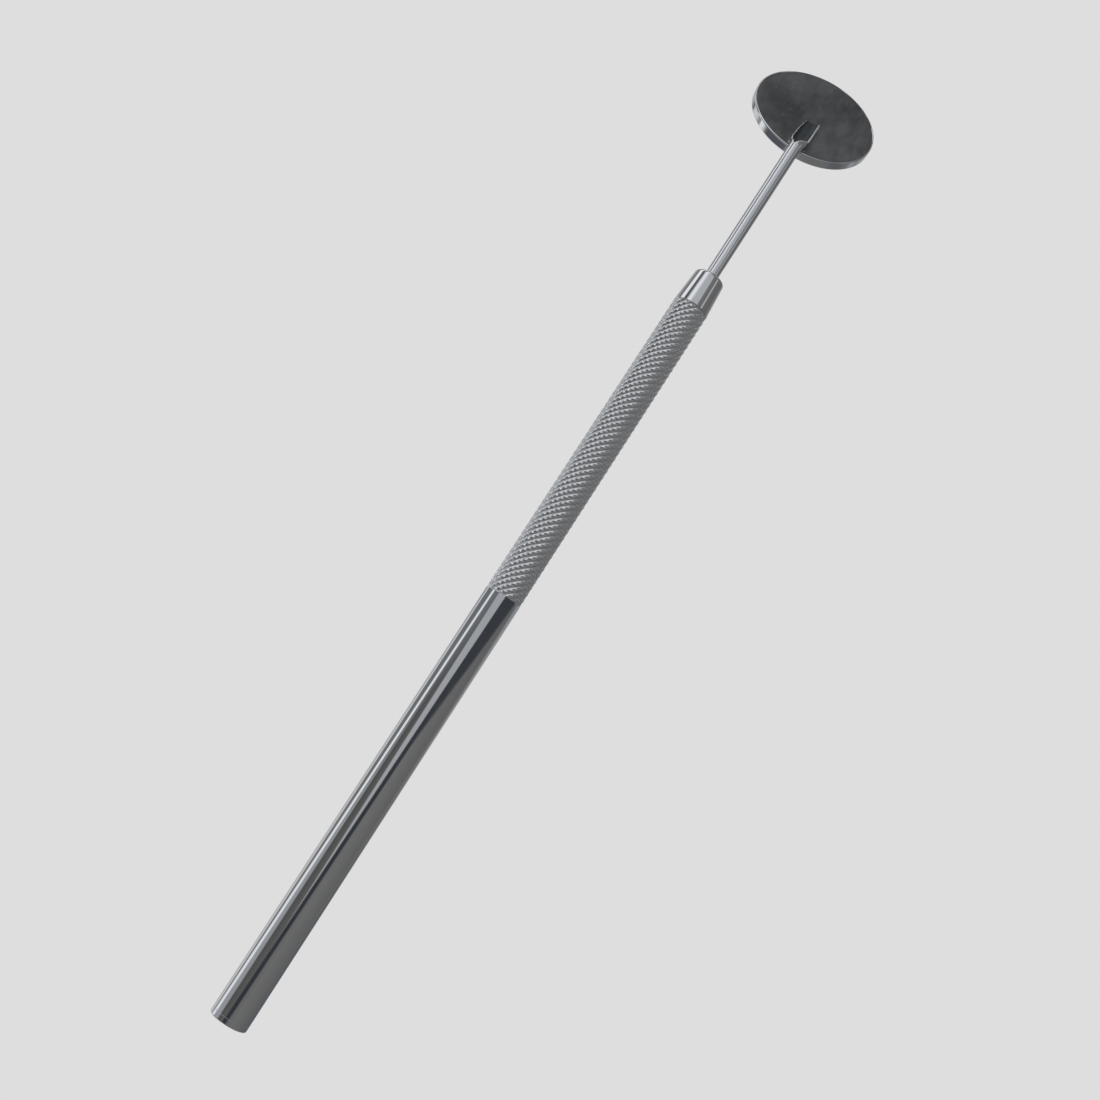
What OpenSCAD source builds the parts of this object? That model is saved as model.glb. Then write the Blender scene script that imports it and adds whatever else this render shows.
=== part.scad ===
// Dental mouth mirror: a round mirror head on a thin tubular stem that screws into a
// straight hollow handle with a knurled grip. The handle's axis is X, the mirror is at +X,
// and the mirror's back faces up. The origin is the centre of the handle's end face.

/* [Handle] */
// Outer diameter of the handle
handle_d = 6; // [5.5:0.1:8]
// Wall thickness of the handle's tubes
handle_wall = 0.7; // [0.5:0.1:0.9]
// Where the knurled grip starts
grip_start = 72.4; // [50:0.1:90]
// Diameter of the grip over the knurl's crests
grip_d = 6; // [5.5:0.1:8]
// Where the knurled grip ends and the nose collar starts
grip_end = 127.5; // [110:0.1:150]
// Where the nose collar ends
collar_end = 133.8; // [131:0.1:160]
// Diameter of the collar's front end
collar_tip_d = 5.2; // [4.6:0.1:5.4]
// Rounding of the collar's front edge
collar_round = 0.6; // [0.2:0.1:0.8]

/* [End plug] */
// Length of the plug that shows behind the tube
plug_cap = 0.9; // [0.8:0.1:2]
// Rounding of the plug's outer edge
plug_round = 0.2; // [0.1:0.1:0.7]
// Length of the plug's spigot inside the tube
plug_spigot = 6; // [3:0.5:10]

/* [Head] */
// Outer diameter of the mirror head
head_d = 22; // [18:1:26]
// Thickness of the head
head_t = 1.53; // [1.4:0.01:2]
// Angle between the head and the handle's axis
head_tilt = 25.5; // [20:0.5:45]
// Place of the centre of the head's back along the handle's axis
head_x = 171.1; // [165:0.1:190]
// How far the head's centre stands to the side of the stem
head_side = 0.25; // [0:0.05:0.5]
// Wall thickness of the bezel ring
bezel_wall = 0.28; // [0.2:0.01:0.5]
// Thickness of the back plate
plate_t = 0.4; // [0.3:0.05:0.6]
// Thickness of the mirror glass
glass_t = 0.7; // [0.6:0.05:0.8]

/* [Stem] */
// Outer diameter of the stem
stem_d = 2.2; // [2:0.1:3]
// Wall thickness of the stem's tube
stem_wall = 0.35; // [0.25:0.05:0.4]
// Width of the stem's opened end
scoop_w = 3.1; // [2.8:0.1:3.6]
// Height of the opened end above the back plate
scoop_h = 1; // [0.7:0.05:1.2]
// Distance from the centre of the back to the end of the opened part
scoop_stop = 2.9; // [1:0.1:4]

/* [Screw joint] */
// Outer diameter of the threaded stud
stud_d = 2; // [1.6:0.1:2]
// Pitch of the thread
thread_pitch = 0.4; // [0.35:0.05:0.5]
// Length of the stud's thread
thread_l = 6; // [4:0.4:8]
// Depth that the stem enters the collar
mouth_depth = 2; // [1:0.1:3]

/* [Hidden] */
$fn = 96;

steel = [0.78, 0.79, 0.81];
satin = [0.60, 0.61, 0.63];
dark_satin = [0.27, 0.28, 0.28];
silicone = [0.20, 0.20, 0.21];

// radial gap of brazed and pressed joints
slip = 0.02;
// radial gap between the stem and the collar's mouth
mouth_gap = 0.05;
// gap between the stem's end and the bush that stops it
seat_gap = 0.02;
// amount by which cutting shapes pass the faces that they cut
past = 0.5;

handle_bore = handle_d - 2 * handle_wall;
spigot_d = handle_bore - 2 * slip;
joint_spigot_half = 6;
collar_spigot = 8;

seat_x = collar_end - mouth_depth;
bush_d = 3.6;
bush_l = 10;
stud_spigot_l = 6;
thread_depth = 0.25;
stem_bore = stem_d - 2 * stem_wall;

braze_t = 0.1;
braze_h = 0.3;
braze_w = scoop_w;
braze_end = 0.3 - scoop_stop;
bezel_chamfer = 0.12;
lip_t = 0.25;
lip_reach = 0.75;
pad_t = 0.15;
coating_t = head_t - lip_t - plate_t - pad_t - glass_t;
cavity_r = head_d / 2 - bezel_wall;
glass_r = cavity_r - 0.2;

// The stem runs along X, bends down at the head's rim and then lies along the back plate.
stem_lift = braze_t + stem_d / 2;
rim_clearance = 0.11;
head_z = -(stem_d / 2 + rim_clearance + head_d / 2 * sin(head_tilt));
corner_x = head_x + (stem_lift + head_z * cos(head_tilt)) / sin(head_tilt);
// the corner of the stem's middle line, measured along the back from its centre
corner_along = head_z * sin(head_tilt) - (head_x - corner_x) * cos(head_tilt);
scoop_start = -head_d / 2 + 0.7;
scoop_r = scoop_w / 2;
// the gutter lies a little deeper in the braze than the tube
scoop_sink = 0.03;
scoop_lift = braze_t + scoop_r - scoop_sink;
mitre_block = 5 * stem_d;

// Solid of revolution about the X axis: the outline's first value runs along X.
module turned(outline)
    rotate([0, 90, 0])
        rotate_extrude()
            polygon([for (p = outline) [p[1], p[0]]]);

module rod(x0, x1, d)
    translate([x0, 0, 0])
        rotate([0, 90, 0])
            cylinder(d = d, h = x1 - x0);

// Points of a quarter circle that rounds an edge, from angle a0 to a1 about (x, r).
function rounded(x, r, radius, a0, a1, steps = 8) =
    [for (i = [0:steps]) [x + radius * cos(a0 + (a1 - a0) * i / steps),
                          r + radius * sin(a0 + (a1 - a0) * i / steps)]];

// Places its children on the head's back, in the stem's plane: X down the back and away from the
// handle, Z out of the back.
module on_back()
    translate([head_x, 0, head_z])
        rotate([0, head_tilt, 0])
            children();

// The same, centred on the head's disc.
module on_head()
    on_back()
        translate([0, head_side, 0])
            children();

module ring(outer_r, inner_r, z0, z1)
    translate([0, 0, z0])
        difference() {
            cylinder(r = outer_r, h = z1 - z0);
            translate([0, 0, -past])
                cylinder(r = inner_r, h = z1 - z0 + 2 * past);
        }

module disc(radius, z0, z1)
    translate([0, 0, z0])
        cylinder(r = radius, h = z1 - z0);

module end_plug()
    color(steel)
        union() {
            turned(concat([[plug_cap, 0], [0, 0]],
                          rounded(plug_round, handle_d / 2 - plug_round, plug_round, 180, 90),
                          [[plug_cap, handle_d / 2]]));
            rod(plug_cap, plug_cap + plug_spigot, spigot_d);
        }

module handle_tube()
    color(steel)
        difference() {
            rod(plug_cap, grip_start, handle_d);
            rod(plug_cap - past, grip_start + past, handle_bore);
        }

module joining_spigot()
    color(satin)
        rod(grip_start - joint_spigot_half, grip_start + joint_spigot_half, spigot_d);

module knurled_grip()
    color(satin)
        difference() {
            rod(grip_start, grip_end, grip_d);
            rod(grip_start - past, grip_end + past, handle_bore);
        }

module nose_collar()
    color(steel)
        difference() {
            union() {
                turned(concat([[grip_end, 0], [grip_end, handle_d / 2]],
                              rounded(collar_end - collar_round, collar_tip_d / 2 - collar_round,
                                      collar_round, 90, 0),
                              [[collar_end, 0]]));
                rod(grip_end - collar_spigot, grip_end, spigot_d);
            }
            rod(grip_end - collar_spigot - past, seat_x, bush_d + 2 * slip);
            rod(seat_x - past, collar_end + past, stem_d + 2 * mouth_gap);
        }

module thread_bush()
    color(satin)
        difference() {
            rod(seat_x - bush_l, seat_x, bush_d);
            rod(seat_x - bush_l - past, seat_x + past, stud_d + 2 * slip);
        }

// The thread is a row of rings of the thread's pitch and depth.
module threaded_stud()
    color(satin)
        union() {
            turned(concat(
                [[seat_x - thread_l, 0]],
                [for (i = [0:round(thread_l / thread_pitch) - 1], half = [0, 1])
                    [seat_x - thread_l + (i + half / 2) * thread_pitch,
                     stud_d / 2 - thread_depth * (1 - half)]],
                [[seat_x, stud_d / 2 - thread_depth], [seat_x, 0]]));
            rod(seat_x, seat_x + stud_spigot_l, stem_bore - 2 * slip);
        }

// Cuts its children off square to the bisector of the stem's corner; side is -1 to keep the part
// before the corner and 1 to keep the part after it.
module mitred(side)
    difference() {
        children();
        translate([corner_x, 0, 0])
            rotate([0, head_tilt / 2, 0])
                translate([-(side + 1) / 2 * mitre_block, -mitre_block / 2, -mitre_block / 2])
                    cube(mitre_block);
    }

// Channel shape of the opened end: a round gutter of the given radius, cut off at its top.
module gutter(radius, along0, along1)
    intersection() {
        translate([0, 0, scoop_lift])
            rod(along0, along1, 2 * radius);
        translate([along0 - past, -scoop_w, -past])
            cube([along1 - along0 + 2 * past, 2 * scoop_w, scoop_h + past]);
    }

// The end of the stem in the head's frame: the tube runs into a gutter that is open upwards.
module opened_end()
    difference() {
        union() {
            translate([0, 0, stem_lift])
                rod(corner_along - stem_d, scoop_start + stem_d, stem_d);
            gutter(scoop_r, scoop_start, -scoop_stop);
        }
        translate([0, 0, stem_lift])
            rod(corner_along - stem_d - past, scoop_start + stem_d + past, stem_bore);
        gutter(scoop_r - stem_wall, scoop_start + stem_wall, -scoop_stop + past);
        translate([scoop_start + stem_wall, -scoop_w, scoop_h])
            cube([2 * stem_d + past, 2 * scoop_w, stem_d + past]);
    }

module stem()
    color(steel)
        union() {
            mitred(-1)
                difference() {
                    rod(seat_x + seat_gap, corner_x + stem_d, stem_d);
                    rod(seat_x - past, corner_x + stem_d + past, stem_bore);
                }
            mitred(1)
                on_back()
                    opened_end();
        }

// A low fillet of braze that fills the corner between the gutter and the back.
module stem_braze()
    color(satin)
        on_back()
            difference() {
                translate([scoop_start, 0, 0])
                    rotate([90, 0, 90])
                        linear_extrude(braze_end - scoop_start)
                            polygon([[-braze_w / 2, 0], [braze_w / 2, 0],
                                     [braze_w / 4, braze_h], [-braze_w / 4, braze_h]]);
                translate([0, 0, scoop_lift])
                    rod(scoop_start - past, -scoop_stop, scoop_w);
                translate([-scoop_stop - past, -scoop_w, braze_t])
                    cube([scoop_w, 2 * scoop_w, scoop_h]);
            }

module back_plate()
    color(dark_satin)
        on_head()
            disc(cavity_r - slip, -plate_t, 0);

module bezel_ring()
    color(steel)
        on_head()
            rotate_extrude()
                polygon([[cavity_r, 0], [head_d / 2 - bezel_chamfer, 0],
                         [head_d / 2, -bezel_chamfer],
                         [head_d / 2, bezel_chamfer - head_t],
                         [head_d / 2 - bezel_chamfer, -head_t],
                         [head_d / 2 - lip_reach, -head_t],
                         [head_d / 2 - lip_reach, lip_t - head_t],
                         [cavity_r, lip_t - head_t]]);

module backing_pad()
    color(silicone)
        on_head()
            disc(glass_r, -plate_t - pad_t, -plate_t);

module mirror_glass()
    color([0.75, 0.85, 0.85])
        on_head()
            disc(glass_r, -plate_t - pad_t - glass_t, -plate_t - pad_t);

module reflective_coating()
    color([0.9, 0.9, 0.92])
        on_head()
            disc(glass_r, lip_t - head_t, lip_t - head_t + coating_t);

module rim_seal()
    color(silicone)
        on_head()
            ring(cavity_r - slip, glass_r, lip_t - head_t, -plate_t);

end_plug();
handle_tube();
joining_spigot();
knurled_grip();
nose_collar();
thread_bush();
threaded_stud();
stem();
stem_braze();
back_plate();
bezel_ring();
backing_pad();
mirror_glass();
reflective_coating();
rim_seal();
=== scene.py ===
"""Looks of a dental mouth mirror: polished tube handle, knurled grip, screw-in stem, round head.

Lengths are in metres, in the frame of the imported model. The handle's axis is X, the back of the
mirror head faces up, and the head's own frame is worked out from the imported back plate.
"""

import math

import bmesh
import bpy
from mathutils import Matrix, Vector


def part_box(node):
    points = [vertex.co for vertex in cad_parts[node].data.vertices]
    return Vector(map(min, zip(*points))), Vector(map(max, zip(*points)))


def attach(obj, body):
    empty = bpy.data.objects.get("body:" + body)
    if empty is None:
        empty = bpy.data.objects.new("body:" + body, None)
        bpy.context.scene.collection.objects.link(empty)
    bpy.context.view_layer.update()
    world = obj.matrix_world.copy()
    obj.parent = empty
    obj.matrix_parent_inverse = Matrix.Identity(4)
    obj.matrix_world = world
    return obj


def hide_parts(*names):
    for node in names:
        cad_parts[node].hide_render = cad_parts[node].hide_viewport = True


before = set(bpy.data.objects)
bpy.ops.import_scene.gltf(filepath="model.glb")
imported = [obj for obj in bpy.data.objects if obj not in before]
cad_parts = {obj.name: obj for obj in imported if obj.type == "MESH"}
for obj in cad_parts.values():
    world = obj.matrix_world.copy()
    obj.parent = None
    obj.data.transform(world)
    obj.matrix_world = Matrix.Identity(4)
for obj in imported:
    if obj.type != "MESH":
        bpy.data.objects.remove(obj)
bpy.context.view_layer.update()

MM = 0.001
TINY = 1e-7

# ---------------------------------------------------------------------------------------------
# Places and sizes taken from the frame
# ---------------------------------------------------------------------------------------------

SIDE = Vector((0, 1, 0))


def widest_normal(part):
    """Unit normal of a flat part's largest face, turned to point up."""
    normal = max(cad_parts[part].data.polygons, key=lambda face: face.area).normal.copy()
    return normal if normal.z > 0 else -normal


def span(part, direction):
    """Lowest and highest place of a part along a direction."""
    places = [vertex.co.dot(direction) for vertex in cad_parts[part].data.vertices]
    return min(places), max(places)


def half_width(part):
    """Half of a part's width across the handle."""
    low, high = span(part, SIDE)
    return (high - low) / 2


OUT_OF_BACK = widest_normal("back_plate")
DOWN_BACK = SIDE.cross(OUT_OF_BACK)

BACK_LEVEL = span("back_plate", OUT_OF_BACK)[1]
HEAD_MIDDLE = sum(span("bezel_ring", DOWN_BACK)) / 2
HEAD_SIDE = sum(span("bezel_ring", SIDE)) / 2
BACK_CENTRE = BACK_LEVEL * OUT_OF_BACK + HEAD_MIDDLE * DOWN_BACK + HEAD_SIDE * SIDE
HEAD_RADIUS = half_width("bezel_ring")
HEAD_THICKNESS = BACK_LEVEL - span("bezel_ring", OUT_OF_BACK)[0]

HANDLE_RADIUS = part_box("handle_tube")[1].z
TUBE_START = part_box("handle_tube")[0].x
GRIP_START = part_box("knurled_grip")[0].x
GRIP_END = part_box("knurled_grip")[1].x
COLLAR_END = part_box("nose_collar")[1].x
STEM_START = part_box("stem")[0].x
STUD_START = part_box("threaded_stud")[0].x
STUD_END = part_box("threaded_stud")[1].x

# ---------------------------------------------------------------------------------------------
# Mesh helpers
# ---------------------------------------------------------------------------------------------

EASE_GAP = 0.03 * MM
LATHE_SEGMENTS = 192


def solid(name, points, faces, sharp_above=40):
    """A closed, smooth-shaded mesh object whose faces all look outwards."""
    mesh = bpy.data.meshes.new(name)
    mesh.from_pydata([tuple(point) for point in points], [], faces)
    work = bmesh.new()
    work.from_mesh(mesh)
    bmesh.ops.recalc_face_normals(work, faces=work.faces)
    work.to_mesh(mesh)
    work.free()
    mesh.shade_smooth()
    mesh.set_sharp_from_angle(angle=math.radians(sharp_above))
    piece = bpy.data.objects.new(name, mesh)
    bpy.context.scene.collection.objects.link(piece)
    return piece


def eased(outline):
    """Adds a point close to both ends of each long side, so that smooth shading stays flat."""
    points = []
    for here, after in zip(outline, outline[1:] + outline[:1]):
        start, end = Vector(here), Vector(after)
        points.append(start)
        step = end - start
        if step.length > 4 * EASE_GAP:
            points += [start + step.normalized() * EASE_GAP, end - step.normalized() * EASE_GAP]
    return points


def arc(centre, radius, start, end, steps=6):
    """Points of an arc in an outline, from one angle to the other in degrees."""
    angles = [math.radians(start + (end - start) * k / steps) for k in range(steps + 1)]
    return [(centre[0] + radius * math.cos(a), centre[1] + radius * math.sin(a)) for a in angles]


def ring_point(x, radius, k, segments):
    """Point number k of a ring of points about X."""
    angle = 2 * math.pi * k / segments
    return x, radius * math.sin(angle), radius * math.cos(angle)


def lathe(name, outline, segments=LATHE_SEGMENTS, ease=True):
    """A closed solid of revolution about X. The outline goes round the section as (x, radius)."""
    points, rings, faces = [], [], []
    for x, radius in eased(outline) if ease else outline:
        if radius < TINY:
            rings.append([len(points)] * segments)
            points.append((x, 0, 0))
            continue
        rings.append(range(len(points), len(points) + segments))
        points += [ring_point(x, radius, k, segments) for k in range(segments)]
    for ring, after in zip(rings, rings[1:] + rings[:1]):
        for k in range(segments):
            turn = (k + 1) % segments
            corners = list(dict.fromkeys([ring[k], ring[turn], after[turn], after[k]]))
            if len(corners) > 2:
                faces.append(corners)
    return solid(name, points, faces)


def on_head(piece):
    """Moves a piece made about X onto the head: X becomes the way out of its back."""
    axes = Matrix((OUT_OF_BACK, SIDE, -DOWN_BACK)).transposed()
    piece.data.transform(Matrix.Translation(BACK_CENTRE) @ axes.to_4x4())
    return piece


# ---------------------------------------------------------------------------------------------
# Shader helpers
# ---------------------------------------------------------------------------------------------


def node(tree, kind, values=None, **settings):
    """Adds a shader node. A value that is a socket is linked, and any other is set."""
    made = tree.nodes.new("ShaderNode" + kind)
    for key, value in settings.items():
        setattr(made, key, value)
    for key, value in (values or {}).items():
        if isinstance(value, bpy.types.NodeSocket):
            tree.links.new(value, made.inputs[key])
        else:
            made.inputs[key].default_value = value
    return made


def maths(tree, operation, *terms):
    """The result of a Math node."""
    return node(tree, "Math", dict(enumerate(terms)), operation=operation).outputs[0]


def between(tree, value, low, high):
    """A smooth step from 0 at low to 1 at high."""
    values = {"Value": value, "From Min": low, "From Max": high}
    return node(tree, "MapRange", values, interpolation_type="SMOOTHSTEP").outputs["Result"]


def ramp(tree, value, stops):
    """The colour of a ramp through (place, colour) stops."""
    made = node(tree, "ValToRGB", {"Fac": value})
    elements = made.color_ramp.elements
    while len(elements) < len(stops):
        elements.new(0.5)
    for element, (place, colour) in zip(elements, stops):
        element.position = place
        element.color = (*colour, 1)
    return made.outputs["Color"]


def blended(tree, amount, first, second):
    """The mix of two colours. Only the enabled sockets of a Mix node are for colours."""
    made = node(tree, "Mix", data_type="RGBA")
    for key, value in (("Factor", amount), ("A", first), ("B", second)):
        socket = next(s for s in made.inputs if s.name == key and s.enabled)
        if isinstance(value, bpy.types.NodeSocket):
            tree.links.new(value, socket)
        else:
            socket.default_value = value
    return next(s for s in made.outputs if s.enabled)


def light(level, tint=(0, 0, 0)):
    """Linear colour of a grey of the given display level from 0 to 255, with a tint added."""
    return tuple(((level + t) / 255) ** 2.2 for t in tint)


# ---------------------------------------------------------------------------------------------
# Stage: camera, floor and studio light
# ---------------------------------------------------------------------------------------------

CAMERA_PLACE = Vector((0.046562, -0.008750, 0.200163))
CAMERA_TARGET = Vector((0.08247, -0.0021, 0))
CAMERA_UP = Vector((0.826869, 0.537289, 0.166164))
FIELD_OF_VIEW = math.radians(45)
NEAREST_SEEN = 0.01
FLOOR_LEVEL = 221
FLOOR_REACH = 3


def camera():
    """The camera at the photograph's angle."""
    back = (CAMERA_PLACE - CAMERA_TARGET).normalized()
    right = CAMERA_UP.cross(back).normalized()
    turn = Matrix((right, back.cross(right), back)).transposed()
    data = bpy.data.cameras.new("camera")
    data.angle = FIELD_OF_VIEW
    data.clip_start = NEAREST_SEEN
    made = bpy.data.objects.new("camera", data)
    made.matrix_world = Matrix.Translation(CAMERA_PLACE) @ turn.to_4x4()
    bpy.context.scene.collection.objects.link(made)
    bpy.context.scene.camera = made


def floor():
    """A plain pale floor under the handle's end and the head's rim, see-through from below."""
    head_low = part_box("bezel_ring")[0].z
    handle_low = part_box("end_plug")[0].z
    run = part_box("bezel_ring")[1].x
    slope = math.atan2(handle_low - head_low, run)
    corners = [(x * FLOOR_REACH, y * FLOOR_REACH, 0) for x, y in ((-1, -1), (1, -1), (1, 1), (-1, 1))]
    mesh = bpy.data.meshes.new("floor")
    mesh.from_pydata(corners, [], [(0, 1, 2, 3)])
    made = bpy.data.objects.new("floor", mesh)
    made.matrix_world = Matrix.Translation((0, 0, handle_low)) @ Matrix.Rotation(slope, 4, "Y")
    bpy.context.scene.collection.objects.link(made)
    material = bpy.data.materials.new("floor")
    material.use_nodes = True
    tree = material.node_tree
    tree.nodes.clear()
    glow = node(tree, "Emission", {"Color": (*light(FLOOR_LEVEL), 1)})
    from_below = node(tree, "NewGeometry").outputs["Backfacing"]
    clear = node(tree, "BsdfTransparent")
    seen = node(tree, "MixShader", {0: from_below, 1: glow.outputs[0], 2: clear.outputs[0]})
    node(tree, "OutputMaterial", {"Surface": seen.outputs[0]})
    mesh.materials.append(material)
    made.visible_diffuse = False
    made.visible_glossy = False
    made.visible_transmission = False
    made.visible_shadow = False


# tint of the panels, in display levels
COOL = (-3, 0, 4)

# Plain walls round the handle, lit from the pale floor: (degrees from straight up, level).
WALLS = [(-180, 200), (-155, 160), (-130, 118), (-105, 104), (-30, 116), (50, 86), (110, 120),
         (150, 185), (180, 200)]

# What is straight ahead of the handle is one even grey.
AHEAD_LEVEL = 132

# Soft panels in three zones along the handle. Each has a middle in degrees from straight up, how
# far that turns per unit of lean, a half width, how far that grows per unit, a softness and a
# level. The first three side panels are dark flags.
SIDE_PANELS = [(-11, -95, 11, 0, 3, 60), (-15, -300, 6, 240, 7, 65), (-145, 0, 0, -170, 18, 98),
               (-150, 0, 0, 250, 20, 152), (85, 0, 0, 500, 30, 116), (62, -65, 2, -80, 5, 160),
               (80, -85, 8, -10, 3, 240), (127, -20, 8, 0, 4, 212), (12, -17, 12, 77, 3, 172)]
FAR_PANELS = [(-9, 40, 57, -40, 4, 182), (36, 0, 12, 0, 12, 246), (86, 0, 13, 0, 3, 248),
              (-60, 0, 15, -20, 3, 184)]
BEHIND_PANELS = [(50, 0, 30, 0, 16, 150), (112, 0, 20, 0, 8, 88)]

# The leans between which each zone fades in, from none at the first to full at the second. The
# side zone also fades out again.
SIDE_IN = (-0.6, -0.4)
SIDE_OUT = (0.34, 0.16)
FAR_IN = (0.16, 0.34)
BEHIND_IN = (-0.5, -0.65)
AHEAD_IN = (0.92, 0.99)


def panel(tree, walls, lean, turn, shape, zone):
    """The walls with one soft-edged panel on them, as strong as its zone of the studio."""
    middle, slant, half, widening, softness, level = shape
    centre = maths(tree, "ADD", middle, maths(tree, "MULTIPLY", lean, slant))
    reach = maths(tree, "ADD", half, maths(tree, "MULTIPLY", lean, widening))
    away = maths(tree, "ABSOLUTE", maths(tree, "SUBTRACT", turn, centre))
    inside = between(tree, maths(tree, "SUBTRACT", reach, away), -softness, softness)
    return blended(tree, maths(tree, "MULTIPLY", inside, zone), walls, (*light(level, COOL), 1))


def studio():
    """Plain soft studio: dim walls lit from a pale floor, with soft panels and dark flags.

    A direction is given by its turn about the handle's axis, in degrees from straight up, and by
    its lean along the handle, from -1 to 1.
    """
    world = bpy.data.worlds.new("studio")
    bpy.context.scene.world = world
    world.use_nodes = True
    tree = world.node_tree
    tree.nodes.clear()
    direction = node(tree, "TexCoord").outputs["Generated"]
    parts = node(tree, "SeparateXYZ", {"Vector": direction}).outputs
    lean = parts["X"]
    turn = maths(tree, "DEGREES", maths(tree, "ARCTAN2", parts["Y"], parts["Z"]))

    place = maths(tree, "DIVIDE", maths(tree, "ADD", turn, 180), 360)
    walls = ramp(tree, place, [((angle + 180) / 360, light(level)) for angle, level in WALLS])
    ahead = between(tree, lean, *AHEAD_IN)
    walls = blended(tree, ahead, walls, (*light(AHEAD_LEVEL), 1))
    side = maths(tree, "MULTIPLY", between(tree, lean, *SIDE_IN), between(tree, lean, *SIDE_OUT))
    not_ahead = maths(tree, "SUBTRACT", 1, ahead)
    far = maths(tree, "MULTIPLY", between(tree, lean, *FAR_IN), not_ahead)
    behind = between(tree, lean, *BEHIND_IN)
    for panels, zone in ((SIDE_PANELS, side), (FAR_PANELS, far), (BEHIND_PANELS, behind)):
        for shape in panels:
            walls = panel(tree, walls, lean, turn, shape, zone)

    seen = node(tree, "LightPath").outputs["Is Camera Ray"]
    colour = blended(tree, seen, walls, (*light(FLOOR_LEVEL), 1))
    glow = node(tree, "Background", {"Color": colour})
    node(tree, "OutputWorld", {"Surface": glow.outputs[0]})


# ---------------------------------------------------------------------------------------------
# Materials
# ---------------------------------------------------------------------------------------------


def material(name):
    """A new material with its tree, shader and the piece's own coordinates in millimetres."""
    made = bpy.data.materials.new(name)
    made.use_nodes = True
    tree = made.node_tree
    shader = tree.nodes["Principled BSDF"]
    place = node(tree, "TexCoord").outputs["Object"]
    scaled = node(tree, "VectorMath", {0: place, "Scale": 1 / MM}, operation="SCALE")
    return made, tree, shader, scaled.outputs[0]


def stretched(tree, place, x, y, z):
    """The coordinates multiplied along each axis."""
    return node(tree, "VectorMath", {0: place, 1: (x, y, z)}, operation="MULTIPLY").outputs[0]


def grain(tree, place, scale, detail=4.0, roughness=0.5):
    """A noise from 0 to 1."""
    values = {"Vector": place, "Scale": scale, "Detail": detail, "Roughness": roughness}
    return node(tree, "TexNoise", values).outputs["Fac"]


def levels(tree, value, low, high, to_low, to_high):
    """The value remapped from one range to another and held inside it."""
    values = {"Value": value, "From Min": low, "From Max": high, "To Min": to_low, "To Max": to_high}
    return node(tree, "MapRange", values).outputs["Result"]


def link(tree, output, shader, key):
    """Links an output to one of the shader's inputs."""
    tree.links.new(output, shader.inputs[key])


def bump(tree, shader, height, strength, distance):
    """Adds a bump of the given height to the shader."""
    made = node(tree, "Bump", {"Height": height, "Strength": strength, "Distance": distance})
    link(tree, made.outputs["Normal"], shader, "Normal")


def steel(name, colour, rough, lines, line_strength, uneven=0.03):
    """Steel with faint tool marks across X, cloudy finger smudges and a little colour drift.

    Its lines are roughly the number of tool marks in a millimetre of X.
    """
    made, tree, shader, place = material(name)
    shader.inputs["Metallic"].default_value = 1
    clouds = grain(tree, place, 0.35, 5, 0.6)
    marks = grain(tree, stretched(tree, place, lines, 0.6, 0.6), 1, 3, 0.6)
    tint = ramp(tree, clouds, [(0.3, tuple(c * (1 - uneven) for c in colour)), (0.7, colour)])
    link(tree, tint, shader, "Base Color")
    wear = maths(tree, "ADD", levels(tree, clouds, 0.35, 0.75, 0, 0.04),
                 levels(tree, marks, 0.3, 0.7, 0, 0.03))
    link(tree, maths(tree, "ADD", wear, rough), shader, "Roughness")
    bump(tree, shader, marks, line_strength, 0.002 * MM)
    return made


def polished_steel():
    """Bright buffed finish of the handle and the bezel."""
    return steel("polished_steel", (0.80, 0.805, 0.815), 0.035, 14, 0.1)


def knurled_steel():
    """Slightly duller finish of the knurl."""
    return steel("knurled_steel", (0.9, 0.905, 0.915), 0.2, 6, 0.2)


def drawn_steel():
    """Finish of the drawn stem tube."""
    return steel("drawn_steel", (0.8, 0.805, 0.825), 0.15, 5, 0.2)


def turned_steel():
    """Finish of the hidden turned pieces and of the thread."""
    return steel("turned_steel", (0.72, 0.725, 0.735), 0.24, 30, 0.5)


def ground_steel():
    """Pale matt edge where the stem was ground."""
    return steel("ground_steel", (0.95, 0.95, 0.95), 0.6, 20, 0.6)


def bore_painted_shade():
    """Dull inside of the opened tube, its colour darkened as painted shade."""
    return steel("bore_painted_shade", (0.11, 0.123, 0.132), 0.42, 4, 0.6, 0.25)


def back_steel():
    """Satin plate with smudges, clouds of dulled metal and fine short scratches."""
    made, tree, shader, place = material("back_steel")
    shader.inputs["Metallic"].default_value = 1
    clouds = grain(tree, stretched(tree, place, 0.6, 1, 0.6), 0.13, 4, 0.5)
    smudges = grain(tree, stretched(tree, place, 0.55, 1, 0.55), 0.55, 7, 0.62)
    scratches = grain(tree, stretched(tree, place, 0.3, 9, 0.3), 1, 1, 0.5)
    crossing = grain(tree, stretched(tree, place, 10, 1.2, 10), 1.6, 2, 0.5)
    mottle = maths(tree, "ADD", maths(tree, "MULTIPLY", clouds, 0.65),
                   maths(tree, "MULTIPLY", smudges, 0.35))
    tint = ramp(tree, mottle, [(0.38, (0.13, 0.134, 0.138)), (0.62, (0.282, 0.286, 0.291))])
    marks = levels(tree, scratches, 0.67, 0.73, 0, 0.4)
    link(tree, blended(tree, marks, tint, (0.5, 0.5, 0.5, 1)), shader, "Base Color")
    dull = maths(tree, "ADD", levels(tree, smudges, 0.3, 0.7, 0.34, 0.42),
                 levels(tree, scratches, 0.62, 0.74, 0, 0.08))
    link(tree, dull, shader, "Roughness")
    height = maths(tree, "ADD", scratches, crossing)
    bump(tree, shader, height, 0.25, 0.003 * MM)
    return made


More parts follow.
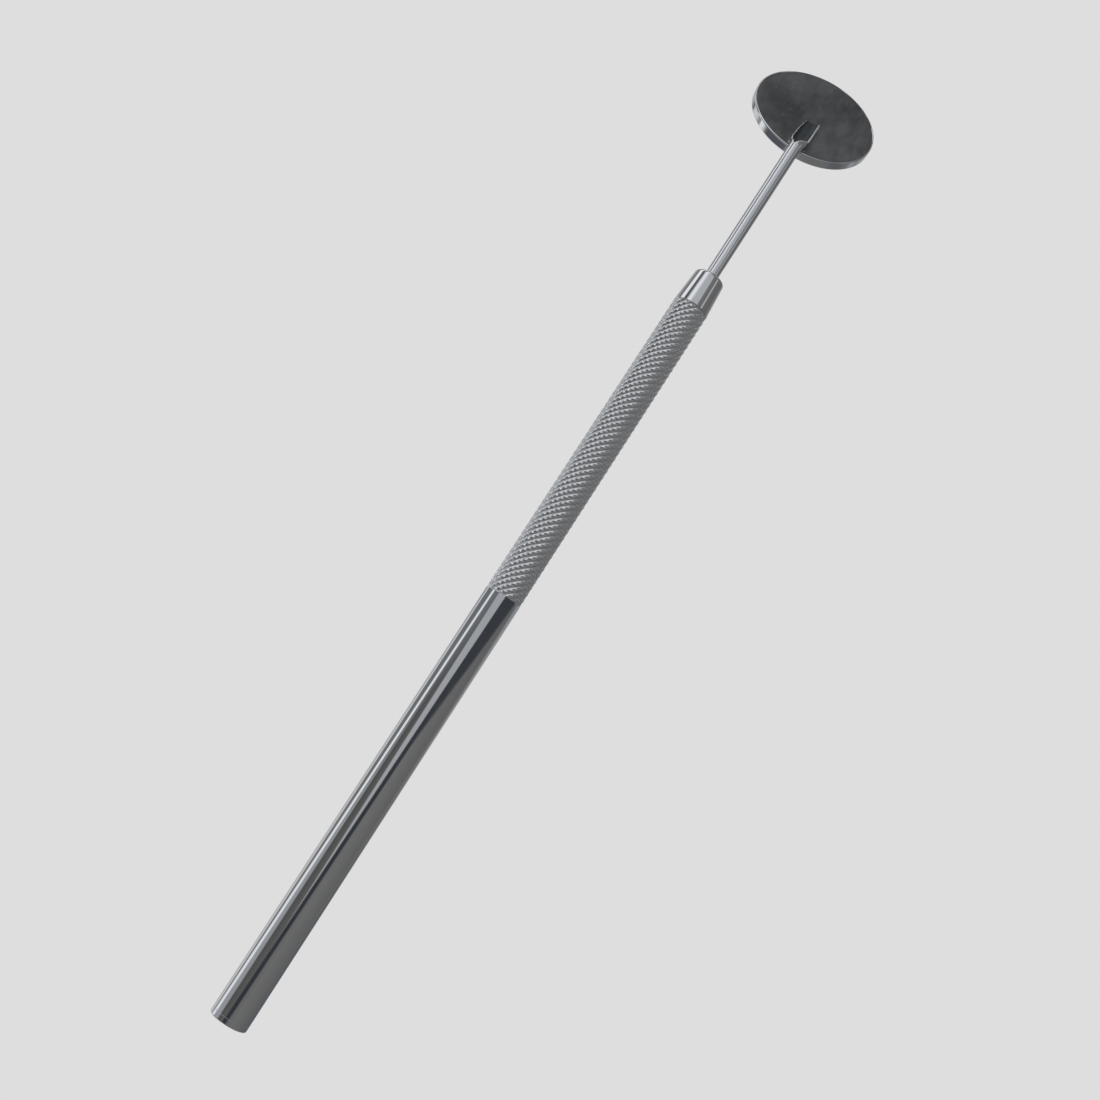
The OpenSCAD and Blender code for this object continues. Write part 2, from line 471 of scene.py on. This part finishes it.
def braze_metal():
    """Dull silver braze with a slightly lumpy skin."""
    made, tree, shader, place = material("braze")
    shader.inputs["Metallic"].default_value = 1
    lumps = grain(tree, place, 2.4, 4, 0.6)
    link(tree, ramp(tree, lumps, [(0.3, (0.62, 0.62, 0.61)), (0.7, (0.78, 0.78, 0.78))]),
         shader, "Base Color")
    link(tree, levels(tree, lumps, 0.3, 0.7, 0.24, 0.36), shader, "Roughness")
    bump(tree, shader, lumps, 0.5, 0.02 * MM)
    return made


def silicone():
    """Dark grey sealing silicone."""
    made, tree, shader, place = material("silicone")
    specks = grain(tree, place, 6, 3, 0.6)
    link(tree, ramp(tree, specks, [(0.3, (0.030, 0.030, 0.033)), (0.7, (0.045, 0.045, 0.048))]),
         shader, "Base Color")
    link(tree, levels(tree, specks, 0.3, 0.7, 0.45, 0.6), shader, "Roughness")
    bump(tree, shader, specks, 0.3, 0.01 * MM)
    return made


def mirror_glass():
    """Clear glass with a faint green edge."""
    made, tree, shader, place = material("glass")
    shader.inputs["Transmission Weight"].default_value = 1
    shader.inputs["IOR"].default_value = 1.52
    haze = grain(tree, place, 1.5, 3, 0.5)
    link(tree, ramp(tree, haze, [(0.3, (0.86, 0.93, 0.90)), (0.7, (0.90, 0.95, 0.93))]),
         shader, "Base Color")
    link(tree, levels(tree, haze, 0.3, 0.7, 0, 0.02), shader, "Roughness")
    return made


def mirror_coating():
    """Bright front-surface mirror with the faintest trace of wiping marks."""
    made, tree, shader, place = material("mirror")
    shader.inputs["Metallic"].default_value = 1
    wipes = grain(tree, stretched(tree, place, 0.5, 3, 0.5), 0.9, 5, 0.6)
    link(tree, ramp(tree, wipes, [(0.3, (0.90, 0.91, 0.92)), (0.7, (0.93, 0.94, 0.95))]),
         shader, "Base Color")
    link(tree, levels(tree, wipes, 0.45, 0.75, 0.005, 0.04), shader, "Roughness")
    return made


def finished(piece, finish, body, slot, *nodes):
    """Gives a piece its material and body, and hides the CAD nodes that it stands for; its slot is
    not used.
    """
    piece.data.materials.append(finish)
    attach(piece, body)
    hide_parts(*nodes)
    return piece


# ---------------------------------------------------------------------------------------------
# Handle
# ---------------------------------------------------------------------------------------------

PLUG_ROUND = 0.15 * MM
PLUG_TAPER = 0.01 * MM
EDGE_BREAK = 0.05 * MM
SEAM_BREAK = 0.02 * MM
FIT_GAP = 0.02 * MM
SPIGOT_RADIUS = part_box("joining_spigot")[1].z
BORE_RADIUS = SPIGOT_RADIUS + FIT_GAP


def end_plug():
    """Slightly tapered plug with a rounded outer edge and a spigot inside the tube."""
    spigot_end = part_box("end_plug")[1].x
    rim = arc((PLUG_ROUND, HANDLE_RADIUS - PLUG_TAPER - PLUG_ROUND), PLUG_ROUND, 180, 90, 10)
    return lathe("end_plug_turned", [
        (0, 0), *rim, (TUBE_START - SEAM_BREAK, HANDLE_RADIUS),
        (TUBE_START, HANDLE_RADIUS - SEAM_BREAK), (TUBE_START, SPIGOT_RADIUS),
        (spigot_end, SPIGOT_RADIUS), (spigot_end, 0)])


def handle_tube():
    """Plain polished tube with broken edges."""
    return lathe("handle_tube_drawn", [
        (TUBE_START, BORE_RADIUS), (TUBE_START, HANDLE_RADIUS - SEAM_BREAK),
        (TUBE_START + SEAM_BREAK, HANDLE_RADIUS), (GRIP_START - EDGE_BREAK, HANDLE_RADIUS),
        (GRIP_START, HANDLE_RADIUS - EDGE_BREAK), (GRIP_START, BORE_RADIUS)])


# diamonds round the grip, diamonds along it, and steps of the grid in each
KNURL_STARTS = 14
KNURL_CELLS = 48
KNURL_STEPS = 12
DEEP_GROOVE = 0.2 * MM
SHALLOW_GROOVE = 0.12 * MM
# how far each groove reaches to either side, as a share of the distance between grooves
DEEP_REACH = 0.42
SHALLOW_REACH = 0.36
KNURL_CHAMFER = 0.16 * MM


def groove(phase, reach):
    """Depth of a V groove with rounded shoulders: 1 at whole phases, 0 at the crests."""
    away = abs(phase - round(phase)) / reach
    return 0 if away >= 1 else (1 - away) ** 1.5


def knurl_depth(row, column):
    """How far the knurl is cut below its crests at a point of the grid."""
    falling = groove((row + column) / KNURL_STEPS, DEEP_REACH)
    rising = groove((column - row) / KNURL_STEPS, SHALLOW_REACH)
    return max(DEEP_GROOVE * falling, SHALLOW_GROOVE * rising)


def knurled_grip():
    """Sleeve with two crossed sets of helical grooves cut into it, which leave diamonds.

    Its squares are split along the floors of the grooves, so that each floor is a clean line.
    """
    segments = KNURL_STARTS * KNURL_STEPS
    rows = KNURL_CELLS * KNURL_STEPS
    step = (GRIP_END - GRIP_START) / rows
    points, faces = [], []
    for row in range(rows + 1):
        x = GRIP_START + row * step
        edge = max(0, KNURL_CHAMFER - min(x - GRIP_START, GRIP_END - x))
        for column in range(segments):
            radius = HANDLE_RADIUS - max(edge, knurl_depth(row, column))
            points.append(ring_point(x, radius, column, segments))
    for x in (GRIP_START, GRIP_END):
        points += [ring_point(x, BORE_RADIUS, column, segments) for column in range(segments)]
    bore_start = (rows + 1) * segments
    bore_end = bore_start + segments
    for column in range(segments):
        after = (column + 1) % segments
        for row in range(rows):
            a, b = row * segments + column, row * segments + after
            c, d = a + segments, b + segments
            if (row + column + 1) % KNURL_STEPS == 0:
                faces += [(a, b, c), (b, d, c)]
            elif (column - row) % KNURL_STEPS == 0:
                faces += [(a, b, d), (a, d, c)]
            else:
                faces.append((a, b, d, c))
        faces.append((bore_start + column, bore_start + after, after, column))
        last = rows * segments
        faces.append((last + column, last + after, bore_end + after, bore_end + column))
        faces.append((bore_start + column, bore_end + column, bore_end + after, bore_start + after))
    return solid("knurled_sleeve", points, faces, 50)


COLLAR_TIP_RADIUS = 2.6 * MM
COLLAR_ROUND = 0.6 * MM
MOUTH_RADIUS = 1.15 * MM
BUSH_SEAT_RADIUS = 1.82 * MM


def nose_collar():
    """Tapered collar with a rounded front edge and a hole for the stem."""
    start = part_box("nose_collar")[0].x
    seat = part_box("thread_bush")[1].x
    rim = arc((COLLAR_END - COLLAR_ROUND, COLLAR_TIP_RADIUS - COLLAR_ROUND), COLLAR_ROUND, 90, 0, 10)
    return lathe("nose_collar_turned", [
        (start, BUSH_SEAT_RADIUS), (start, SPIGOT_RADIUS), (GRIP_END, SPIGOT_RADIUS),
        (GRIP_END, HANDLE_RADIUS - EDGE_BREAK), (GRIP_END + EDGE_BREAK, HANDLE_RADIUS), *rim,
        (COLLAR_END, MOUTH_RADIUS + EDGE_BREAK), (COLLAR_END - EDGE_BREAK, MOUTH_RADIUS),
        (seat, MOUTH_RADIUS), (seat, BUSH_SEAT_RADIUS)])


# ---------------------------------------------------------------------------------------------
# Stud and stem
# ---------------------------------------------------------------------------------------------

THREAD_PITCH = 0.4 * MM
THREAD_DEPTH = 0.25 * MM
# the thread's form: the slope of its flanks, and the offset that leaves its crests flat
FLANK_SLOPE = 2.4
CREST_FLAT = 0.1
STUD_RADIUS = 1 * MM
STUD_SPIGOT_RADIUS = 0.73 * MM


def threaded_stud():
    """Stud with a real helical thread, a chamfered tip and a plain spigot inside the stem."""
    segments, per_pitch = 48, 10
    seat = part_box("thread_bush")[1].x
    rows = round((seat - STUD_START) / THREAD_PITCH) * per_pitch
    points, faces = [(STUD_START, 0, 0)], []
    for row in range(rows + 1):
        along = row / per_pitch
        x = STUD_START + along * THREAD_PITCH
        tip = min(1, along, rows / per_pitch - along)
        for k in range(segments):
            phase = (along + k / segments) % 1
            cut = THREAD_DEPTH * min(1, max(0, abs(phase - 0.5) * FLANK_SLOPE - CREST_FLAT))
            radius = STUD_RADIUS - max(cut, (1 - tip) * THREAD_DEPTH)
            points.append(ring_point(x, radius, k, segments))
    for x in (seat, STUD_END):
        points += [ring_point(x, STUD_SPIGOT_RADIUS, k, segments) for k in range(segments)]
    rings = rows + 3
    points.append((STUD_END, 0, 0))
    for k in range(segments):
        after = (k + 1) % segments
        faces.append((0, 1 + after, 1 + k))
        for ring in range(rings - 1):
            a, b = 1 + ring * segments + k, 1 + ring * segments + after
            faces.append((a, b, b + segments, a + segments))
        last = 1 + (rings - 1) * segments
        faces.append((last + k, last + after, len(points) - 1))
    return solid("stud_threaded", points, faces, 35)


STEM_RADIUS = 1.1 * MM
STEM_WALL = 0.35 * MM
BRAZE_THICKNESS = 0.1 * MM
BEND_RADIUS = 2.5 * MM
SCOOP_HALF_WIDTH = 1.55 * MM
SCOOP_HALF_HEIGHT = 0.97 * MM
SCOOP_WALL = 0.34 * MM

# the wall towards +Y gets thinner by this much, over this stretch past the bend's corner
THINNED = 0.18 * MM
THINNING = (0, 2.5 * MM)

# band that is ground off beside the cut: it starts narrow and gets its full width further on
LIP_WIDTH = 0.28 * MM
LIP_DEPTH = 0.06 * MM
LIP_NARROW = 0.55
LIP_WIDENING = (1.5 * MM, 3 * MM)

EDGE_BEVEL = 0.1 * MM

# number of points round the stem, and of sections along each stretch of it
STEM_SEGMENTS = 96
PLAIN_STEPS = 12
STEPS_BEFORE_BEND = 16
BEFORE_BEND = 1 * MM
BEND_STEPS = 24
OPEN_STEPS = 100
CUT_STEPS = 60

# places of the stem's finishes among its materials; the bore's is a dark painted shade
OUTSIDE, BORE, CUT_EDGE = 0, 1, 2

# The tube is cut open from the bend on. Each edge of the cut is given as (millimetres past the
# bend's corner, degrees round the tube from its foot): one towards +Y and one towards -Y.
NEAR_EDGE = [(-0.5, 152), (0.1, 124), (0.8, 96), (2.7, 74), (5, 66), (7.4, 47), (8.6, 36)]
FAR_EDGE = [(-0.5, 208), (-0.1, 186), (0.6, 156), (1.5, 124), (2.4, 101), (4.5, 86), (8.6, 70)]
NEAR_FLARE = (-0.8 * MM, 2.4 * MM)
FAR_FLARE = (-1.2 * MM, 0.9 * MM)


def smooth(value, low, high):
    """A smooth step from 0 at low to 1 at high."""
    t = min(1, max(0, (value - low) / (high - low)))
    return t * t * (3 - 2 * t)


def edge_angle(knots, past):
    """Angle of one edge of the cut at a distance past the corner, on a smooth curve."""
    place = past / MM
    if place <= knots[0][0]:
        return knots[0][1]
    for k, ((start, first), (end, second)) in enumerate(zip(knots, knots[1:])):
        if place > end:
            continue
        before = knots[max(k - 1, 0)]
        after = knots[min(k + 2, len(knots) - 1)]
        width = end - start
        slopes = [(second - before[1]) / (end - before[0]) * width,
                  (after[1] - first) / (after[0] - start) * width]
        t = (place - start) / width
        return ((2 * t ** 3 - 3 * t ** 2 + 1) * first + (t ** 3 - 2 * t ** 2 + t) * slopes[0]
                + (3 * t ** 2 - 2 * t ** 3) * second + (t ** 3 - t ** 2) * slopes[1])
    return knots[-1][1]


def stem_corner():
    """Where the stem's line would meet the line that it follows along the back."""
    lift = BRAZE_THICKNESS + STEM_RADIUS
    return Vector(((BACK_LEVEL + lift) / OUT_OF_BACK.x, 0, 0))


def stem_sections():
    """Sections along the stem: foot of the tube, the way off the plate, distance past the corner."""
    corner = stem_corner()
    tilt = math.atan2(OUT_OF_BACK.x, OUT_OF_BACK.z)
    tangent = BEND_RADIUS * math.tan(tilt / 2)
    bend_start = corner - Vector((tangent, 0, 0))
    sections = []
    plain_end = bend_start.x - BEFORE_BEND
    straight = [STEM_START + (plain_end - STEM_START) * k / PLAIN_STEPS for k in range(PLAIN_STEPS)]
    straight += [plain_end + (bend_start.x - plain_end) * k / STEPS_BEFORE_BEND
                 for k in range(STEPS_BEFORE_BEND)]
    for x in straight:
        sections.append((Vector((x, 0, -STEM_RADIUS)), Vector((0, 0, 1)), x - corner.x))
    for k in range(BEND_STEPS + 1):
        angle = tilt * k / BEND_STEPS
        off = Vector((math.sin(angle), 0, math.cos(angle)))
        foot = bend_start + BEND_RADIUS * (off - Vector((0, 0, 1))) - STEM_RADIUS * off
        sections.append((foot, off, tangent * (2 * k / BEND_STEPS - 1)))
    first = sections[-1][0]
    length = span("stem", DOWN_BACK)[1] - first.dot(DOWN_BACK)
    for k in range(1, OPEN_STEPS + 1):
        run = length * k / OPEN_STEPS
        sections.append((first + run * DOWN_BACK, OUT_OF_BACK, tangent + run))
    return sections


def cut_outline():
    """Points of the cut's edges as (distance past the corner, degrees round the tube)."""
    start, end = NEAR_EDGE[0][0], NEAR_EDGE[-1][0]
    places = [(start + (end - start) * k / CUT_STEPS) * MM for k in range(CUT_STEPS + 1)]
    return ([(past, edge_angle(NEAR_EDGE, past)) for past in places]
            + [(past, -edge_angle(FAR_EDGE, past)) for past in places])


def ground_off(past, angle, outline):
    """How deep the outer face is ground away beside the cut, in a band along its edge."""
    nearest = min(math.hypot(past - place, STEM_RADIUS * math.radians(angle - edge))
                  for place, edge in outline)
    width = LIP_WIDTH * (LIP_NARROW + (1 - LIP_NARROW) * smooth(past, *LIP_WIDENING))
    return LIP_DEPTH * max(0, 1 - nearest / width)


def scoop_point(foot, off, past, angle, inwards, ground=0):
    """A point of the tube's wall, at an angle from its foot, on its outer (0) or inner (1) face."""
    flare = smooth(past, *(NEAR_FLARE if math.sin(angle) > 0 else FAR_FLARE))
    opened = smooth(past, *NEAR_FLARE)
    across = STEM_RADIUS + (SCOOP_HALF_WIDTH - STEM_RADIUS) * flare
    upright = STEM_RADIUS + (SCOOP_HALF_HEIGHT - STEM_RADIUS) * opened
    near_side = smooth(past, *THINNING) * smooth(math.sin(angle), 0, 0.7)
    thickness = STEM_WALL + (SCOOP_WALL - STEM_WALL) * opened - THINNED * near_side
    wall = inwards * thickness + ground
    return (foot + upright * off + (across - wall) * math.sin(angle) * SIDE
            - (upright - wall) * math.cos(angle) * off)


def is_open(past):
    """Whether the tube is cut open at a distance past the corner."""
    return past / MM > NEAR_EDGE[0][0]


def stem_ring(section, inwards, outline, points, lip):
    """Adds a section's points on one face of the wall, and to lip those that are ground off.

    Gives the points' numbers from the far edge of the cut round to the near one.
    """
    foot, off, past = section
    near, far = edge_angle(NEAR_EDGE, past), -edge_angle(FAR_EDGE, past)
    is_ground = not inwards and past > outline[0][0] - LIP_WIDTH
    ring = []
    for k in range(STEM_SEGMENTS + 1):
        if k == STEM_SEGMENTS and not is_open(past):
            ring.append(ring[0])
            continue
        angle = far + (near - far) * k / STEM_SEGMENTS
        ground = ground_off(past, angle, outline) if is_ground else 0
        if ground:
            lip.add(len(points))
        ring.append(len(points))
        points.append(scoop_point(foot, off, past, math.radians(angle), inwards, ground))
    return ring


def stem():
    """Thin tube that bends at the rim and opens into a flared scoop on the back of the head."""
    outline = cut_outline()
    sections = stem_sections()
    points, faces, finishes, rows, lip = [], [], [], [], set()
    for section in sections:
        rows.append([stem_ring(section, inwards, outline, points, lip) for inwards in (0, 1)])
    for rings, after, (_, _, past) in zip(rows, rows[1:], sections[1:]):
        for k in range(STEM_SEGMENTS):
            for side in (0, 1):
                corners = [rings[side][k], rings[side][k + 1], after[side][k + 1], after[side][k]]
                outer = CUT_EDGE if lip.issuperset(corners) else OUTSIDE
                faces.append(list(dict.fromkeys(corners)))
                finishes.append(BORE if side else outer)
        if is_open(past):
            for k in (0, STEM_SEGMENTS):
                corners = [rings[0][k], after[0][k], after[1][k], rings[1][k]]
                faces.append(list(dict.fromkeys(corners)))
                finishes.append(CUT_EDGE)
    for outer, inner in (rows[0], rows[-1]):
        for k in range(STEM_SEGMENTS):
            faces.append([outer[k], outer[k + 1], inner[k + 1], inner[k]])
            finishes.append(CUT_EDGE)
    piece = solid("stem_tube", points, faces, 50)
    piece.data.polygons.foreach_set("material_index", finishes)
    bevel = piece.modifiers.new("edges", "BEVEL")
    bevel.width = EDGE_BEVEL
    bevel.segments = 3
    bevel.limit_method = "ANGLE"
    bevel.angle_limit = math.radians(60)
    return piece


FILLET_REACH = 0.1 * MM
FILLET_HEIGHT = 0.34 * MM
FILLET_PAST_END = 0.3 * MM
FILLET_RUN_IN = (-0.1 * MM, 0.5 * MM)
FILLET_STEPS = 60
# section of one side of the fillet: share of its reach outside the wall, share of its height
FILLET_CURVE = [(1, -0.1), (0.96, 0), (0.5, 0.12), (0.22, 0.38), (0.05, 1), (-1, 0.9), (-2.4, 0.35)]


def stem_braze():
    """Fillet of braze, a little uneven, that follows the scoop's foot and runs out past its end."""
    low, end = span("stem_braze", DOWN_BACK)[0], span("stem", DOWN_BACK)[1]
    corner = stem_corner().dot(DOWN_BACK)
    size = 2 * len(FILLET_CURVE)
    points, faces = [], []
    for k in range(FILLET_STEPS + 1):
        place = low + (end + FILLET_PAST_END - low) * k / FILLET_STEPS
        past = min(place, end) - corner
        run_out = 1 - smooth(place, end - 0.05 * MM, end + FILLET_PAST_END)
        run_in = smooth(place - low, *FILLET_RUN_IN)
        lump = 1 + 0.08 * math.sin(1.3 * k) + 0.05 * math.sin(0.47 * k)
        foot = (BACK_LEVEL + BRAZE_THICKNESS) * OUT_OF_BACK + place * DOWN_BACK
        level = foot - BRAZE_THICKNESS * OUT_OF_BACK
        section = []
        for sign, knots in ((1, NEAR_EDGE), (-1, FAR_EDGE)):
            angle = math.radians(min(90, edge_angle(knots, past)))
            rim = scoop_point(foot, OUT_OF_BACK, past, sign * angle, 0) - level
            height = min(FILLET_HEIGHT, 0.8 * rim.dot(OUT_OF_BACK)) * run_out * run_in
            reach = FILLET_REACH * lump * (0.4 + 0.6 * run_out ** 0.5)
            side = [level + (abs(rim.dot(SIDE)) + across * reach) * sign * SIDE
                    + up * height * OUT_OF_BACK for across, up in FILLET_CURVE]
            section += side if sign > 0 else side[::-1]
        points += section
    for k in range(FILLET_STEPS):
        for j in range(size):
            a, b = k * size + j, k * size + (j + 1) % size
            faces.append((a, b, b + size, a + size))
    faces.append(list(range(size)))
    faces.append([FILLET_STEPS * size + j for j in range(size)][::-1])
    return solid("stem_fillet", points, faces, 80)


# ---------------------------------------------------------------------------------------------
# Head
# ---------------------------------------------------------------------------------------------

BEZEL_WALL = 0.28 * MM
BACK_ROUND = 0.22 * MM
FRONT_ROUND = 0.16 * MM
BEZEL_LIP_REACH = 0.75 * MM
BEZEL_LIP_THICKNESS = 0.25 * MM
PLATE_THICKNESS = 0.4 * MM
PLATE_GAP = 0.02 * MM
HEAD_SEGMENTS = 256


def bezel_ring():
    """Ring round the head with rounded edges and a lip that holds the mirror."""
    r, t = HEAD_RADIUS, HEAD_THICKNESS
    inner = r - BEZEL_WALL
    back_edge = arc((-BACK_ROUND, r - BACK_ROUND), BACK_ROUND, 0, 90)
    front_edge = arc((-t + FRONT_ROUND, r - FRONT_ROUND), FRONT_ROUND, 90, 180)
    lip, lip_back = r - BEZEL_LIP_REACH, -t + BEZEL_LIP_THICKNESS
    outline = [(-EDGE_BREAK, inner), (0, inner + EDGE_BREAK), *back_edge, *front_edge,
               (-t, lip + EDGE_BREAK), (-t + EDGE_BREAK, lip), (lip_back, lip), (lip_back, inner)]
    return on_head(lathe("bezel_spun", outline, HEAD_SEGMENTS))


def back_plate():
    """Flat satin disc that closes the back of the head."""
    r = HEAD_RADIUS - BEZEL_WALL - PLATE_GAP
    outline = [(-PLATE_THICKNESS, 0), (-PLATE_THICKNESS, r), (-EDGE_BREAK, r), (0, r - EDGE_BREAK),
               (0, 0)]
    return on_head(lathe("back_plate_satin", outline, HEAD_SEGMENTS, ease=False))


def mirror_face():
    """Thin reflecting layer on the outside of the glass."""
    low, high = span("reflective_coating", OUT_OF_BACK)
    low, high = low - BACK_LEVEL, high - BACK_LEVEL
    r = half_width("reflective_coating")
    outline = [(low, 0), (low, r), (high, r), (high, 0)]
    return on_head(lathe("mirror_face", outline, HEAD_SEGMENTS, ease=False))


# ---------------------------------------------------------------------------------------------
# The scene
# ---------------------------------------------------------------------------------------------

bpy.context.scene.view_settings.view_transform = "Standard"
camera()
floor()
studio()

polished = polished_steel()
turned = turned_steel()
knurled = knurled_steel()

finished(end_plug(), polished, "handle", "polished_steel", "end_plug")
finished(handle_tube(), polished, "handle", "polished_steel", "handle_tube")
finished(knurled_grip(), knurled, "handle", "knurled_steel", "knurled_grip")
finished(nose_collar(), polished, "handle", "polished_steel", "nose_collar")
finished(threaded_stud(), turned, "stud", "turned_steel", "threaded_stud")
stem_piece = finished(stem(), drawn_steel(), "head", "polished_steel", "stem")
# the stem's other materials: the bore, darkened as painted shade, and the ground edge
for finish in (bore_painted_shade(), ground_steel()):
    stem_piece.data.materials.append(finish)
finished(stem_braze(), braze_metal(), "head", "braze", "stem_braze")
finished(bezel_ring(), polished, "head", "polished_steel", "bezel_ring")
finished(back_plate(), back_steel(), "head", "satin_steel", "back_plate")
finished(mirror_face(), mirror_coating(), "head", "mirror", "reflective_coating")

for name, finish in (("joining_spigot", turned), ("thread_bush", turned),
                     ("backing_pad", silicone()), ("rim_seal", silicone()),
                     ("mirror_glass", mirror_glass())):
    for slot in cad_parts[name].material_slots:
        slot.material = finish
